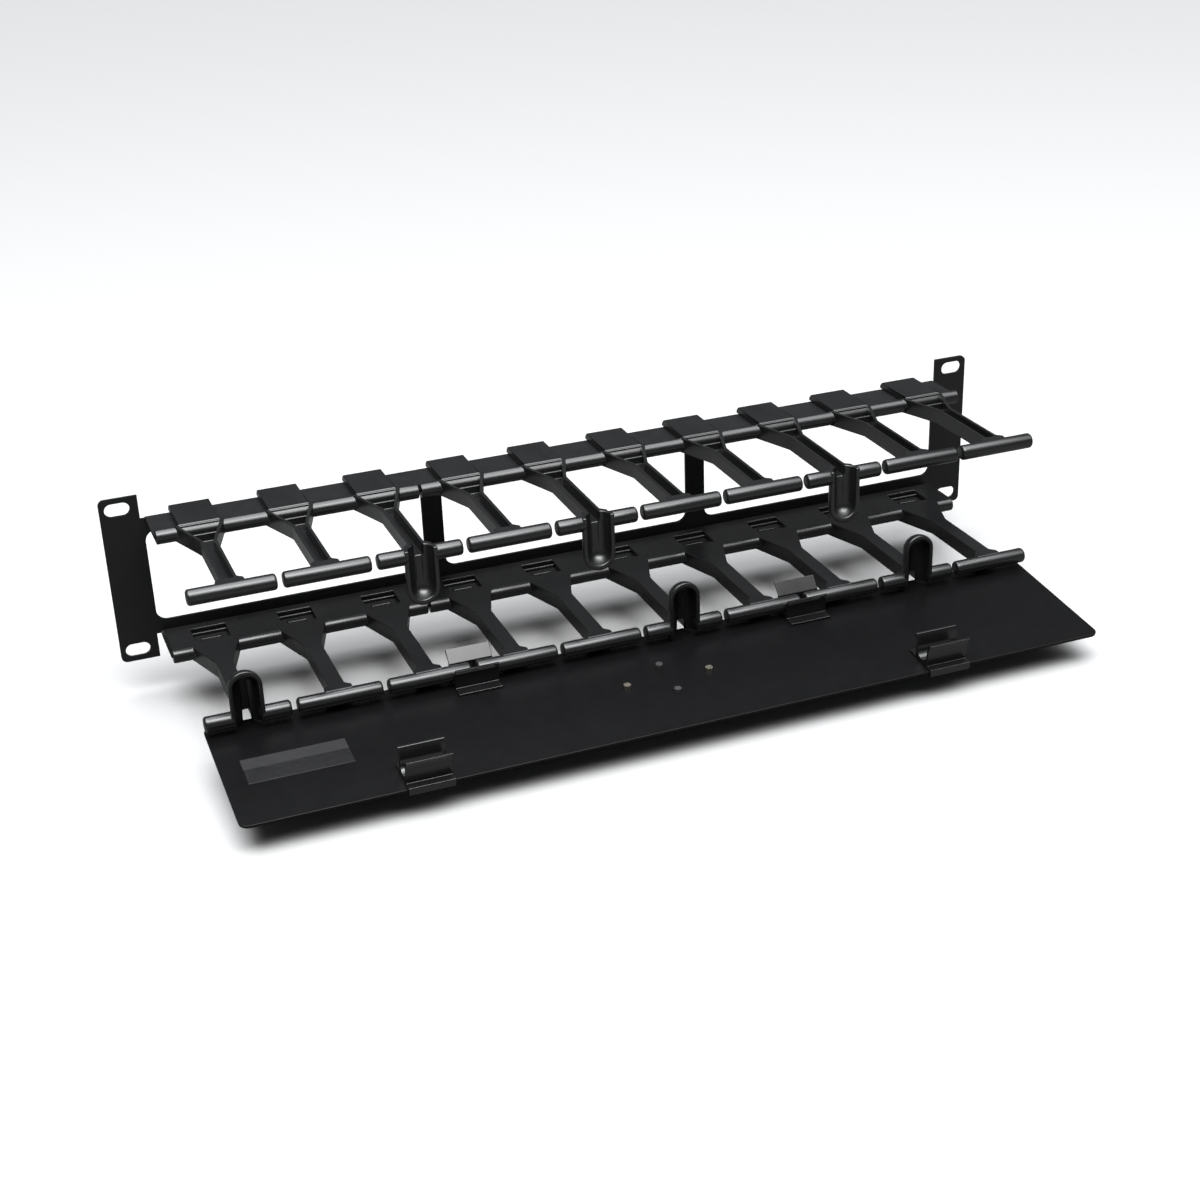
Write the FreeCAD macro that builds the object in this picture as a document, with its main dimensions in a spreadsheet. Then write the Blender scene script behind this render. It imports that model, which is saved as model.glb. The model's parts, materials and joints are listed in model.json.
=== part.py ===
"""Horizontal cable manager for a 19-inch rack: 2U steel bracket, moulded finger
strips and a hinged front cover with snap clips.

Frame: origin at the centre of the mounting plane (rear face of the ears),
+X to the right, +Z up, the fingers point along -Y. Millimetres and degrees.
"""
import FreeCAD, Part
import math
import os
import re
from collections import namedtuple

import Sketcher

SIZES = {
    # bracket
    "panel_width": 482.6,
    "panel_height": 88.1,
    "sheet_thick": 1.5,
    "bend_inner": 1.5,
    "slot_spacing_x": 465.1,
    "slot_spacing_z": 76.2,
    "slot_length": 12.4,
    "slot_width": 6.9,
    "ear_width": 19.1,
    "ear_round": 3.0,
    "channel_height": 65.6,
    "channel_length": 440.0,
    "flange_depth": 28.9,
    "relief_depth": 1.4,
    "window_height": 49.0,
    "window_margin": 20.3,
    "window_round": 5.5,
    "strut_spacing": 149.0,
    "strut_width": 11.0,
    # finger strips
    "finger_pitch": 44.0,
    "short_fingers": 3,
    "long_fingers": 7,
    "split_gap": 1.4,
    "fit_gap": 0.1,
    "nose_dia": 7.2,
    "round_sides": 16,
    "leaf_rear_gap": 4.5,
    "cap_width": 20.0,
    "cap_rise": 3.8,
    "cap_rear_chamfer": 2.2,
    "cap_rear_gap": 0.2,
    "cap_front_setback": 0.6,
    "cap_front_slope": 2.7,
    "cap_front_drop": 4.9,
    "arm_width": 8.0,
    "arm_wall": 1.7,
    "arm_floor": 2.2,
    "flare_length": 24.0,
    "flare_half": 12.0,
    "gusset_run": 4.5,
    "groove_end_wall": 1.3,
    "rib_thick": 1.5,
    "rib_setback": 12.0,
    "rib_drop": 1.6,
    "bar_length": 41.0,
    "bar_dia": 7.5,
    "bar_end_chamfer": 1.2,
    "bar_reach": 104.0,
    "bar_height": 32.5,
    "recess_width": 17.5,
    "recess_front": 25.0,
    "recess_rear": 10.0,
    "recess_rib": 1.2,
    "recess_rib_step": 5.0,
    "recess_rib_drop": 1.4,
    "peg_width": 10.0,
    "peg_depth": 3.0,
    "peg_tip": 0.6,
    # scoops on some fingers
    "scoop_width": 16.0,
    "scoop_wall": 1.8,
    "scoop_reach": 23.5,
    "scoop_rim": 3.5,
    "scoop_straight": 1.0,
    "scoop_turn": 30.0,
    "scoop_step": 3,
    "short_scoop": 3,
    "long_scoop": 2,
    "long_scoops": 2,
    # cover, measured from the lower bars' axis
    "cover_width": 437.0,
    "cover_thick": 1.5,
    "cover_round": 4.5,
    "cover_drop": 6.5,
    "cover_rear": 7.5,
    "cover_front": 8.5,
    "cover_tilt": 5.5,
    "pin_dia": 3.5,
    "pin_proud": 1.8,
    "pin_cross_x": 43.0,
    "pin_cross_y": 23.0,
    "label_width": 49.0,
    "label_depth": 19.5,
    "label_thick": 0.15,
    "label_left": 208.0,
    "label_front": 29.5,
    # clips
    "clip_length": 22.0,
    "clip_gap": 0.4,
    "clip_side_gap": 1.0,
    "clip_wall": 1.4,
    "clip_foot": 11.3,
    "clip_hook": 1.2,
    "clip_hook_reach": 2.6,
    "clip_waist": 2.6,
    "hinge_step": 4,
    "latch_step": 6,
    "hinge_front_flare": 1.6,
    "hinge_front_lip": 5.2,
    "hinge_rear_flare": 2.6,
    "hinge_rear_lip": 9.4,
    "latch_flare": 1.8,
    "latch_lip": 6.8,
}

doc = FreeCAD.newDocument("horizontal_cable_manager")
sheet = doc.addObject("Spreadsheet::Sheet", "dim")
for row, (alias, size) in enumerate(SIZES.items(), start=1):
    sheet.set("A%d" % row, alias.replace("_", " "))
    sheet.set("B%d" % row, str(size))
    sheet.setAlias("B%d" % row, alias)
doc.recompute()

ALIASES = re.compile(r"\b(%s)\b" % "|".join(SIZES))

# places that several pieces share, written once in terms of the sizes
FLANGE_OUT = "(channel_height / 2)"
FLANGE_IN = "(channel_height / 2 - sheet_thick)"
NOSE_Z = "(channel_height / 2 - sheet_thick / 2)"
LEAF_FACE = "(%s - nose_dia / 2)" % NOSE_Z
CAP_TOP = "(channel_height / 2 + cap_rise)"
BAR_TOP = "(bar_height + bar_dia / 2)"
BAR_REAR = "(-bar_reach + bar_dia / 2)"
COVER_DEPTH = "(2 * bar_height + cover_rear + cover_front)"
CLIP_IN = "(bar_dia / 2 + clip_gap)"
CLIP_OUT = "(bar_dia / 2 + clip_gap + clip_wall)"


def bound(text):
    """An expression over the size names, as the document's objects read it."""
    return ALIASES.sub(r"dim.\1", text)


def num(text):
    """The present value of such an expression."""
    return float(sheet.evalExpression(ALIASES.sub(r"\1", text)))


def new_body(label):
    body = doc.addObject("PartDesign::Body", label)
    body.Label = label
    if "AllowCompound" in body.PropertiesList:
        body.AllowCompound = True
    return body


def new_sketch(body, role, name, at=("0", "0", "0")):
    """A sketch on one of the body's own origin planes, moved by at in the plane's axes."""
    sk = body.newObject("Sketcher::SketchObject", name)
    plane = [f for f in body.Origin.OriginFeatures if f.Role == role][0]
    sk.AttachmentSupport = [(plane, "")]
    sk.MapMode = "FlatFace"
    for axis, text in zip("xyz", at):
        if text != "0":
            sk.setExpression("AttachmentOffset.Base." + axis, bound(text))
    return sk


def pin_point(sk, geo, pos, x_text, y_text):
    for kind, text in (("DistanceX", x_text), ("DistanceY", y_text)):
        index = sk.addConstraint(Sketcher.Constraint(kind, -1, 1, geo, pos, num(text)))
        sk.setExpression("Constraints[%d]" % index, bound(text))


def set_radius(sk, geo, text):
    index = sk.addConstraint(Sketcher.Constraint("Radius", geo, num(text)))
    sk.setExpression("Constraints[%d]" % index, bound(text))


Corner = namedtuple("Corner", "x y round arc", defaults=(None, None))
Corner.__doc__ = "An outline's corner; arc is (radius, x, y) of the arc that runs on to the next one."


def loop(sk, corners):
    """A closed outline through corners whose places and radii are expressions."""
    corners = [Corner(*c) for c in corners]
    pts = [FreeCAD.Vector(num(c.x), num(c.y), 0) for c in corners]
    up = FreeCAD.Vector(0, 0, 1)
    enter, leave, rounds = list(pts), list(pts), {}
    for i, corner in enumerate(corners):
        if not corner.round:
            continue
        back = (pts[i - 1] - pts[i]).normalize()
        ahead = (pts[(i + 1) % len(pts)] - pts[i]).normalize()
        half = back.getAngle(ahead) / 2
        radius = num(corner.round)
        enter[i] = pts[i] + back * (radius / math.tan(half))
        leave[i] = pts[i] + ahead * (radius / math.tan(half))
        rounds[i] = (pts[i] + (back + ahead).normalize() * (radius / math.sin(half)), radius)

    def arc_between(start, end, middle, radius):
        """The short arc, with the positions of its start and end."""
        forward = (start - middle).cross(end - middle).z > 0
        first, last = (start, end) if forward else (end, start)
        a0 = math.atan2(first.y - middle.y, first.x - middle.x)
        a1 = math.atan2(last.y - middle.y, last.x - middle.x)
        a1 += 2 * math.pi if a1 < a0 else 0
        geo = sk.addGeometry(Part.ArcOfCircle(Part.Circle(middle, up, radius), a0, a1), False)
        return (geo, 1, 2) if forward else (geo, 2, 1)

    edges = []
    for i, corner in enumerate(corners):
        start, end = leave[i], enter[(i + 1) % len(pts)]
        if corner.arc:
            radius, x_text, y_text = corner.arc
            edge = arc_between(start, end, FreeCAD.Vector(num(x_text), num(y_text), 0), num(radius))
            set_radius(sk, edge[0], radius)
        else:
            edge = (sk.addGeometry(Part.LineSegment(start, end), False), 1, 2)
        edges.append(edge)
    for i, corner in enumerate(corners):
        before, after = edges[i - 1], edges[i]
        if i not in rounds:
            sk.addConstraint(Sketcher.Constraint("Coincident", before[0], before[2], after[0], after[1]))
            pin_point(sk, after[0], after[1], corner.x, corner.y)
            continue
        point = sk.addGeometry(Part.Point(pts[i]), True)
        pin_point(sk, point, 1, corner.x, corner.y)
        sk.addConstraint(Sketcher.Constraint("PointOnObject", point, 1, before[0]))
        sk.addConstraint(Sketcher.Constraint("PointOnObject", point, 1, after[0]))
        arc, near, far = arc_between(enter[i], leave[i], *rounds[i])
        sk.addConstraint(Sketcher.Constraint("Tangent", before[0], before[2], arc, near))
        sk.addConstraint(Sketcher.Constraint("Tangent", arc, far, after[0], after[1]))
        set_radius(sk, arc, corner.round)


def mirrored(half):
    """The half outline followed by its mirror image in the sketch's Y axis."""
    half = [Corner(*c) for c in half]
    turned_back = []
    for i in range(len(half) - 1, -1, -1):
        arc = half[i - 1].arc if i else None
        arc = (arc[0], "-" + arc[1], arc[2]) if arc else None
        turned_back.append(Corner("-" + half[i].x, half[i].y, half[i].round, arc))
    return half + turned_back


def box_loop(sk, x0, y0, x1, y1, radius=None):
    extra = (radius,) if radius else ()
    loop(sk, [(x0, y0) + extra, (x1, y0) + extra, (x1, y1) + extra, (x0, y1) + extra])


def obround(sk, x_text, y_text, length, width):
    """A slot outline with round ends, long along the sketch's X."""
    up = FreeCAD.Vector(0, 0, 1)
    radius = num(width) / 2
    ends = []
    for side in (-1, 1):
        text = "(%s) + %d * (%s - %s) / 2" % (x_text, side, length, width)
        ring = Part.Circle(FreeCAD.Vector(num(text), num(y_text), 0), up, radius)
        start = math.pi / 2 if side < 0 else -math.pi / 2
        arc = sk.addGeometry(Part.ArcOfCircle(ring, start, start + math.pi), False)
        pin_point(sk, arc, 3, text, y_text)
        set_radius(sk, arc, "(%s) / 2" % width)
        ends.append((arc, num(text)))
    (left, xl), (right, xr) = ends
    y = num(y_text)
    low = Part.LineSegment(FreeCAD.Vector(xl, y - radius, 0), FreeCAD.Vector(xr, y - radius, 0))
    high = Part.LineSegment(FreeCAD.Vector(xr, y + radius, 0), FreeCAD.Vector(xl, y + radius, 0))
    low, high = sk.addGeometry(low, False), sk.addGeometry(high, False)
    for one, pos1, two, pos2 in ((left, 2, low, 1), (low, 2, right, 1),
                                 (right, 2, high, 1), (high, 2, left, 1)):
        sk.addConstraint(Sketcher.Constraint("Tangent", one, pos1, two, pos2))


def feature(body, kind, name, sk, length, symmetric=False, reverse=False):
    """A Pad or Pocket of a sketch whose length follows an expression."""
    made = body.newObject("PartDesign::" + kind, name)
    made.Profile = sk
    made.setExpression("Length", bound(length))
    made.SideType = "Symmetric" if symmetric else "One side"
    made.Reversed = reverse
    return made


def turned(body, kind, name, sk, angle=360.0, axis="H_Axis"):
    """A Revolution or Groove of a sketch about one of its own axes."""
    made = body.newObject("PartDesign::" + kind, name)
    made.Profile = sk
    made.ReferenceAxis = (sk, [axis])
    made.Angle = angle
    return made


def row_of(body, name, originals, step, count, whole=False):
    """The originals, or the whole body so far, repeated along X."""
    if whole:
        doc.recompute()
    made = body.newObject("PartDesign::LinearPattern", name)
    if whole:
        made.TransformMode = "Whole shape"
    else:
        made.Originals = originals
    axis = [f for f in body.Origin.OriginFeatures if f.Role == "X_Axis"][0]
    made.Direction = (axis, [""])
    made.Mode = "Spacing"
    made.setExpression("Offset", bound(step))
    made.setExpression("Occurrences", bound(count))
    body.Tip = made
    return made


# ---------------------------------------------------------------- steel bracket
def rack_bracket():
    """One folded sheet: web with three windows, two ears, two flanges."""
    body = new_body("rack_bracket")
    sk = new_sketch(body, "YZ_Plane", "bracket_section")
    outer = "bend_inner + sheet_thick"
    out_z, in_z = FLANGE_OUT, FLANGE_IN
    loop(sk, [("0", "-" + out_z, outer), ("0", out_z, outer), ("-flange_depth", out_z),
              ("-flange_depth", in_z), ("-sheet_thick", in_z, "bend_inner"),
              ("-sheet_thick", "-" + in_z, "bend_inner"), ("-flange_depth", "-" + in_z),
              ("-flange_depth", "-" + out_z)])
    feature(body, "Pad", "channel", sk, "channel_length", symmetric=True)

    sk = new_sketch(body, "XZ_Plane", "ear_outline")
    px, pz = "(panel_width / 2)", "(panel_height / 2)"
    ex = "(panel_width / 2 - ear_width)"
    nz = "(%s - relief_depth)" % FLANGE_OUT
    cx, cz = "(channel_length / 2)", "(channel_height / 2 - bend_inner - sheet_thick)"
    quarter = [(px, pz, "ear_round"), (ex, pz), (ex, nz), (cx, nz), (cx, cz)]
    outline = []
    for sx, sz, order in (("", "", 1), ("-", "", -1), ("-", "-", 1), ("", "-", -1)):
        outline += [(sx + c[0], sz + c[1]) + tuple(c[2:]) for c in quarter[::order]]
    loop(sk, outline)
    feature(body, "Pad", "face_plate", sk, "sheet_thick")

    sk = new_sketch(body, "XZ_Plane", "windows")
    wx = "(panel_width / 2 - window_margin)"
    near = "(strut_spacing / 2 - strut_width / 2)"
    far = "(strut_spacing / 2 + strut_width / 2)"
    wz = "(window_height / 2)"
    for x0, x1 in (("-" + wx, "-" + far), ("-" + near, near), (far, wx)):
        box_loop(sk, x0, "-" + wz, x1, wz, "window_round")
    feature(body, "Pocket", "window_cut", sk, "sheet_thick", reverse=True)

    sk = new_sketch(body, "XZ_Plane", "rack_slots")
    for sx in ("", "-"):
        for sz in ("", "-"):
            obround(sk, sx + "slot_spacing_x / 2", sz + "slot_spacing_z / 2",
                    "slot_length", "slot_width")
    feature(body, "Pocket", "slot_cut", sk, "sheet_thick", reverse=True)

    sk = new_sketch(body, "XY_Plane", "peg_holes", ("0", "0", "-" + FLANGE_OUT))
    first = "(-(short_fingers + long_fingers - 1) / 2 * finger_pitch)"
    half_x = "(peg_width / 2 + fit_gap)"
    mid = "(-(recess_front + recess_rear) / 2)"
    half_y = "(peg_depth / 2 + fit_gap)"
    box_loop(sk, "%s - %s" % (first, half_x), "%s - %s" % (mid, half_y),
             "%s + %s" % (first, half_x), "%s + %s" % (mid, half_y))
    hole = feature(body, "Pocket", "peg_hole", sk, "channel_height", reverse=True)
    row_of(body, "peg_hole_row", [hole], "finger_pitch", "short_fingers + long_fingers")
    return body


# ---------------------------------------------------------------- finger strips
def round_bar(sk, x_text, y_text, across):
    """A many-sided outline that stands for a round one, with flats on all four sides."""
    turn = 360 / num("round_sides")
    corners = []
    for i in range(int(num("round_sides"))):
        at = tuple("%s(%r) * (%s) / 2 / cos(%r)" % (f, turn * (i + 0.5), across, turn / 2) for f in ("cos", "sin"))
        corners.append(("%s + %s" % (x_text, at[0]), "%s + %s" % (y_text, at[1])))
    loop(sk, corners)


def bar_end_chamfer(body, label, at_x):
    """Breaks the end edges of the one bar built so far."""
    doc.recompute()
    bar = body.Tip
    names = []
    for number, edge in enumerate(bar.Shape.Edges, start=1):
        box = edge.BoundBox
        if box.XLength < 1e-4 and abs(abs(box.Center.x - at_x) - num("bar_length") / 2) < 1e-4:
            names.append("Edge%d" % number)
    made = body.newObject("PartDesign::Chamfer", label + "_bar_chamfer")
    made.Base = (bar, names)
    made.setExpression("Size", bound("bar_end_chamfer"))
    body.Tip = made


def finger_strip(label, count, scoop, scoops, left_edge):
    """A moulding of count fingers for the upper row."""
    body = new_body(label)
    first = "(-(%s - 1) / 2 * finger_pitch)" % count
    side = "(arm_width / 2)"
    web = "(finger_pitch / 2 - clip_length / 2 - clip_side_gap)"
    turn_y = "(-flange_depth - flare_length)"
    sk = new_sketch(body, "XY_Plane", label + "_arm", (first, "0", LEAF_FACE))
    loop(sk, mirrored([
        ("flare_half", "-flange_depth"), (side, turn_y), (side, BAR_REAR + " + gusset_run"),
        (web, BAR_REAR), (web, "-bar_reach")]))
    feature(body, "Pad", label + "_arm_pad", sk, "%s - %s" % (BAR_TOP, LEAF_FACE))

    sk = new_sketch(body, "XY_Plane", label + "_groove", (first, "0", BAR_TOP))
    inside = "(arm_width / 2 - arm_wall)"
    root = "(-flange_depth - nose_dia / 2 + arm_wall)"
    wide = "(%s + (flare_half - %s) * (%s - %s) / flare_length)" % (inside, side, root, turn_y)
    loop(sk, mirrored([
        (wide, root), (inside, turn_y), (inside, "%s + groove_end_wall" % BAR_REAR)]))
    feature(body, "Pocket", label + "_groove_cut", sk,
            "%s - %s - arm_floor" % (BAR_TOP, LEAF_FACE))

    sk = new_sketch(body, "XY_Plane", label + "_rib", (first, "0", LEAF_FACE + " + arm_floor / 2"))
    rib = "(-flange_depth - rib_setback)"
    half = "(%s + (flare_half - %s) * (%s - %s) / flare_length)" % (inside, side, rib, turn_y)
    box_loop(sk, "-" + half, rib, half, rib + " + rib_thick")
    feature(body, "Pad", label + "_rib_pad", sk,
            "%s - %s - arm_floor / 2 - rib_drop" % (BAR_TOP, LEAF_FACE))

    sk = new_sketch(body, "YZ_Plane", label + "_bar", ("0", "0", first))
    round_bar(sk, "-bar_reach", "bar_height", "bar_dia")
    feature(body, "Pad", label + "_bar_pad", sk, "bar_length", symmetric=True)
    bar_end_chamfer(body, label, num(first))

    sk = new_sketch(body, "YZ_Plane", label + "_cap", ("0", "0", first))
    seat = "(%s + fit_gap)" % FLANGE_OUT
    edge = "(-flange_depth - cap_front_setback)"
    loop(sk, [("-cap_rear_gap", seat), ("-cap_rear_gap", CAP_TOP + " - cap_rear_chamfer"),
              ("-cap_rear_gap - cap_rear_chamfer", CAP_TOP),
              (edge, CAP_TOP),
              (edge + " - cap_front_slope", CAP_TOP + " - cap_front_drop"),
              ("-flange_depth", CAP_TOP + " - cap_front_drop"), ("-flange_depth", seat)])
    feature(body, "Pad", label + "_cap_pad", sk, "cap_width", symmetric=True)
    sk = new_sketch(body, "YZ_Plane", label + "_nose", ("0", "0", first))
    round_bar(sk, "-flange_depth", NOSE_Z, "nose_dia")
    feature(body, "Pad", label + "_nose_pad", sk, "finger_pitch", symmetric=True)
    sk = new_sketch(body, "YZ_Plane", label + "_leaf", ("0", "0", first))
    box_loop(sk, "-flange_depth", LEAF_FACE, "-leaf_rear_gap", NOSE_Z)
    feature(body, "Pad", label + "_leaf_pad", sk, "finger_pitch", symmetric=True)
    sk = new_sketch(body, "YZ_Plane", label + "_seat", ("0", "0", first))
    box_loop(sk, "-flange_depth - fit_gap", "%s - fit_gap" % FLANGE_IN, "sheet_thick", seat)
    feature(body, "Pocket", label + "_seat_cut", sk, "finger_pitch + split_gap", symmetric=True)

    sk = new_sketch(body, "XY_Plane", label + "_recess", (first, "0", LEAF_FACE))
    box_loop(sk, "-recess_width / 2", "-recess_front", "recess_width / 2", "-recess_rear")
    feature(body, "Pocket", label + "_recess_cut", sk,
            "%s - fit_gap - %s" % (FLANGE_IN, LEAF_FACE), reverse=True)
    recess_mid = "(-(recess_front + recess_rear) / 2)"
    sk = new_sketch(body, "XY_Plane", label + "_latch_ribs",
                    (first, "0", "%s + recess_rib_drop" % LEAF_FACE))
    for sign in "-+":
        mid = "%s %s recess_rib_step" % (recess_mid, sign)
        box_loop(sk, "-recess_width / 2", "%s - recess_rib / 2" % mid,
                 "recess_width / 2", "%s + recess_rib / 2" % mid)
    feature(body, "Pad", label + "_latch_rib_pad", sk,
            "%s - fit_gap - %s - recess_rib_drop" % (FLANGE_IN, LEAF_FACE))
    sk = new_sketch(body, "XY_Plane", label + "_peg", (first, "0", "%s - peg_tip" % FLANGE_IN))
    box_loop(sk, "-peg_width / 2", "%s - peg_depth / 2" % recess_mid, "peg_width / 2",
             "%s + peg_depth / 2" % recess_mid)
    feature(body, "Pad", label + "_peg_pad", sk, "sheet_thick + fit_gap + peg_tip")
    row_of(body, label + "_finger_row", [], "finger_pitch", count, whole=True)

    sk = new_sketch(body, "XZ_Plane", label + "_ends", ("0", "0", "sheet_thick"))
    end = "(%s / 2 * finger_pitch)" % count
    for sign in ("-", ""):
        box_loop(sk, "%s%s - split_gap / 2" % (sign, end), LEAF_FACE + " - nose_dia",
                 "%s%s + split_gap / 2" % (sign, end), CAP_TOP)
    feature(body, "Pocket", label + "_end_cut", sk, "flange_depth + nose_dia", reverse=True)

    centre = "(-bar_reach - scoop_rim + scoop_straight)"
    at = "%s + (%s - 1) * finger_pitch" % (first, scoop)
    ball = "(bar_height - scoop_reach + scoop_width / 2 * cos(scoop_turn))"
    made = []
    for kind, turn, name, radius in (("Pad", "Revolution", "scoop", "(scoop_width / 2)"),
                                     ("Pocket", "Groove", "hollow", "(scoop_width / 2 - scoop_wall)")):
        rim = "-scoop_straight" if kind == "Pad" else "-scoop_straight - scoop_wall"
        sk = new_sketch(body, "XY_Plane", "%s_%s" % (label, name), (at, centre, ball))
        half_round(sk, radius, rim)
        made.append(feature(body, kind, "%s_%s_wall" % (label, name), sk,
                            "%s - %s" % (BAR_TOP, ball), reverse=(kind == "Pocket")))
        sk = new_sketch(body, "XZ_Plane", "%s_%s_end" % (label, name), (at, ball, "-(%s)" % centre))
        low = "-%s * cos(scoop_turn)" % radius
        loop(sk, [("0", "0"), ("0", low), ("%s * sin(scoop_turn)" % radius, low),
                  ("%s * sin(2 * scoop_turn)" % radius, "-%s * cos(2 * scoop_turn)" % radius),
                  (radius, "0")])
        made.append(turned(body, turn, "%s_%s_ball" % (label, name), sk, 180.0, axis="V_Axis"))
    sk = new_sketch(body, "XY_Plane", label + "_mouth", (at, "0", BAR_TOP))
    box_loop(sk, "-" + inside, "%s - scoop_wall" % BAR_REAR, inside, "%s + 2 * groove_end_wall" % BAR_REAR)
    made.append(feature(body, "Pocket", label + "_mouth_cut", sk,
                         "%s - %s - arm_floor" % (BAR_TOP, LEAF_FACE)))
    for step in made[:-1]:
        step.Refine = False
    if scoops:
        row_of(body, label + "_scoop_row", made, "scoop_step * finger_pitch", scoops)

    body.setExpression("Placement.Base.x", bound("%s + %s / 2 * finger_pitch" % (left_edge, count)))
    return body


def turned_over(label, strip):
    """The same moulding once more, turned half round front to back for the lower row."""
    again = doc.addObject("App::Link", label)
    again.LinkedObject = strip
    again.Placement = FreeCAD.Placement(FreeCAD.Vector(), FreeCAD.Rotation(FreeCAD.Vector(0, 1, 0), 180))
    again.setExpression("Placement.Base.x", "%s.Placement.Base.x" % strip.Name)
    return again


def half_round(sk, radius, rim):
    """A half disc open to the front, with straight sides down to rim."""
    r = num(radius)
    up = FreeCAD.Vector(0, 0, 1)
    ring = Part.Circle(FreeCAD.Vector(), up, r)
    arc = sk.addGeometry(Part.ArcOfCircle(ring, 0.0, math.pi), False)
    pin_point(sk, arc, 3, "0", "0")
    set_radius(sk, arc, radius)
    y = num(rim)
    if rim == "0":
        line = sk.addGeometry(Part.LineSegment(FreeCAD.Vector(-r, 0, 0), FreeCAD.Vector(r, 0, 0)), False)
        sk.addConstraint(Sketcher.Constraint("Coincident", arc, 2, line, 1))
        sk.addConstraint(Sketcher.Constraint("Coincident", line, 2, arc, 1))
        sk.addConstraint(Sketcher.Constraint("PointOnObject", arc, 1, -1))
        sk.addConstraint(Sketcher.Constraint("PointOnObject", arc, 2, -1))
        return
    corners = [FreeCAD.Vector(-r, 0, 0), FreeCAD.Vector(-r, y, 0), FreeCAD.Vector(r, y, 0),
               FreeCAD.Vector(r, 0, 0)]
    lines = [sk.addGeometry(Part.LineSegment(a, b), False) for a, b in zip(corners, corners[1:])]
    sk.addConstraint(Sketcher.Constraint("Tangent", arc, 2, lines[0], 1))
    sk.addConstraint(Sketcher.Constraint("Tangent", lines[2], 2, arc, 1))
    sk.addConstraint(Sketcher.Constraint("Vertical", lines[0]))
    sk.addConstraint(Sketcher.Constraint("Vertical", lines[2]))
    sk.addConstraint(Sketcher.Constraint("Coincident", lines[0], 2, lines[1], 1))
    sk.addConstraint(Sketcher.Constraint("Coincident", lines[1], 2, lines[2], 1))
    for line in (lines[0], lines[1]):
        index = sk.addConstraint(Sketcher.Constraint("DistanceY", -1, 1, line, 2, y))
        sk.setExpression("Constraints[%d]" % index, bound(rim))


# ---------------------------------------------------------------- hinged cover
def on_cover(body, x_text="0"):
    """Puts a body drawn about the lower bars' axis where the open cover holds it."""
    turn = FreeCAD.Rotation(FreeCAD.Vector(1, 0, 0), num("cover_tilt"))
    body.Placement = FreeCAD.Placement(FreeCAD.Vector(), turn)
    body.setExpression("Placement.Base.x", bound(x_text))
    body.setExpression("Placement.Base.y", bound("-bar_reach"))
    body.setExpression("Placement.Base.z", bound("-bar_height"))
    body.setExpression("Placement.Rotation.Angle", bound("cover_tilt"))
    return body


COVER_MID = "(cover_rear - %s / 2)" % COVER_DEPTH
PINS = (("cover_pin_left", "-pin_cross_x / 2", "0"), ("cover_pin_right", "pin_cross_x / 2", "0"),
        ("cover_pin_rear", "0", "pin_cross_y / 2"), ("cover_pin_front", "0", "-pin_cross_y / 2"))


def cover_panel():
    body = new_body("cover_panel")
    sk = new_sketch(body, "XY_Plane", "cover_outline", ("0", "0", "-cover_drop"))
    box_loop(sk, "-cover_width / 2", "cover_rear - %s" % COVER_DEPTH, "cover_width / 2",
             "cover_rear", "cover_round")
    feature(body, "Pad", "cover_pad", sk, "cover_thick", reverse=True)
    return on_cover(body)


def cover_pin(label, x_text, y_text):
    body = new_body(label)
    sk = new_sketch(body, "XY_Plane", label + "_outline", ("0", "0", "-cover_drop"))
    round_bar(sk, "0", "%s + %s" % (COVER_MID, y_text), "pin_dia")
    feature(body, "Pad", label + "_pad", sk, "pin_proud")
    return on_cover(body, x_text)


def blank_label():
    body = new_body("blank_label")
    sk = new_sketch(body, "XY_Plane", "label_outline", ("0", "0", "-cover_drop"))
    front = "cover_rear - %s + label_front" % COVER_DEPTH
    box_loop(sk, "-label_left", front, "-label_left + label_width", front + " + label_depth")
    feature(body, "Pad", "label_pad", sk, "label_thick")
    return on_cover(body)


def clip(label, x_text, latch):
    """A snap clip hooked on the cover's edge; its open side grips a bar."""
    body = new_body(label)
    shift = "-2 * bar_height" if latch else "0"
    sk = new_sketch(body, "YZ_Plane", label + "_section", (shift, "0", "0"))
    face, under = "-cover_drop", "-cover_drop - cover_thick"
    if latch:
        edge, foot, s = "cover_front", "clip_foot", "-"
        near_lip = far_lip = "latch_lip"
        near_flare = far_flare = "latch_flare"
    else:
        edge, foot, s = "cover_rear", "clip_foot", ""
        near_lip, near_flare = "hinge_rear_lip", "hinge_rear_flare"
        far_lip, far_flare = "hinge_front_lip", "hinge_front_flare"
    t = "" if s else "-"

    def at(sign, text, height, *radius):
        return ("%s(%s)" % (sign, text), height) + radius

    inner, outer = CLIP_IN, CLIP_OUT
    bed = (inner, "0", "0")
    loop(sk, [
        at(s, edge + " - clip_hook_reach", under),
        at(s, edge, under),
        at(s, edge, face),
        at(t, foot, face),
        at(t, foot, face + " + clip_hook"),
        at(t, outer, face + " + clip_hook"),
        at(t, outer, "clip_waist"),
        at(t, outer + " + %s" % far_flare, far_lip),
        at(t, inner + " + %s" % far_flare, far_lip),
        at(t, inner, "clip_waist"),
        at(t, inner, "0", None, bed),
        ("0", "-" + inner, None, bed),
        at(s, inner, "0"),
        at(s, inner, "clip_waist"),
        at(s, inner + " + %s" % near_flare, near_lip),
        at(s, outer + " + %s" % near_flare, near_lip),
        at(s, outer, "clip_waist"),
        at(s, outer, face + " + clip_hook"),
        at(s, edge + " + clip_hook", face + " + clip_hook"),
        at(s, edge + " + clip_hook", under + " - clip_hook"),
        at(s, edge + " - clip_hook_reach", under + " - clip_hook"),
    ])
    feature(body, "Pad", label + "_pad", sk, "clip_length", symmetric=True)
    return on_cover(body, x_text)


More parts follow.
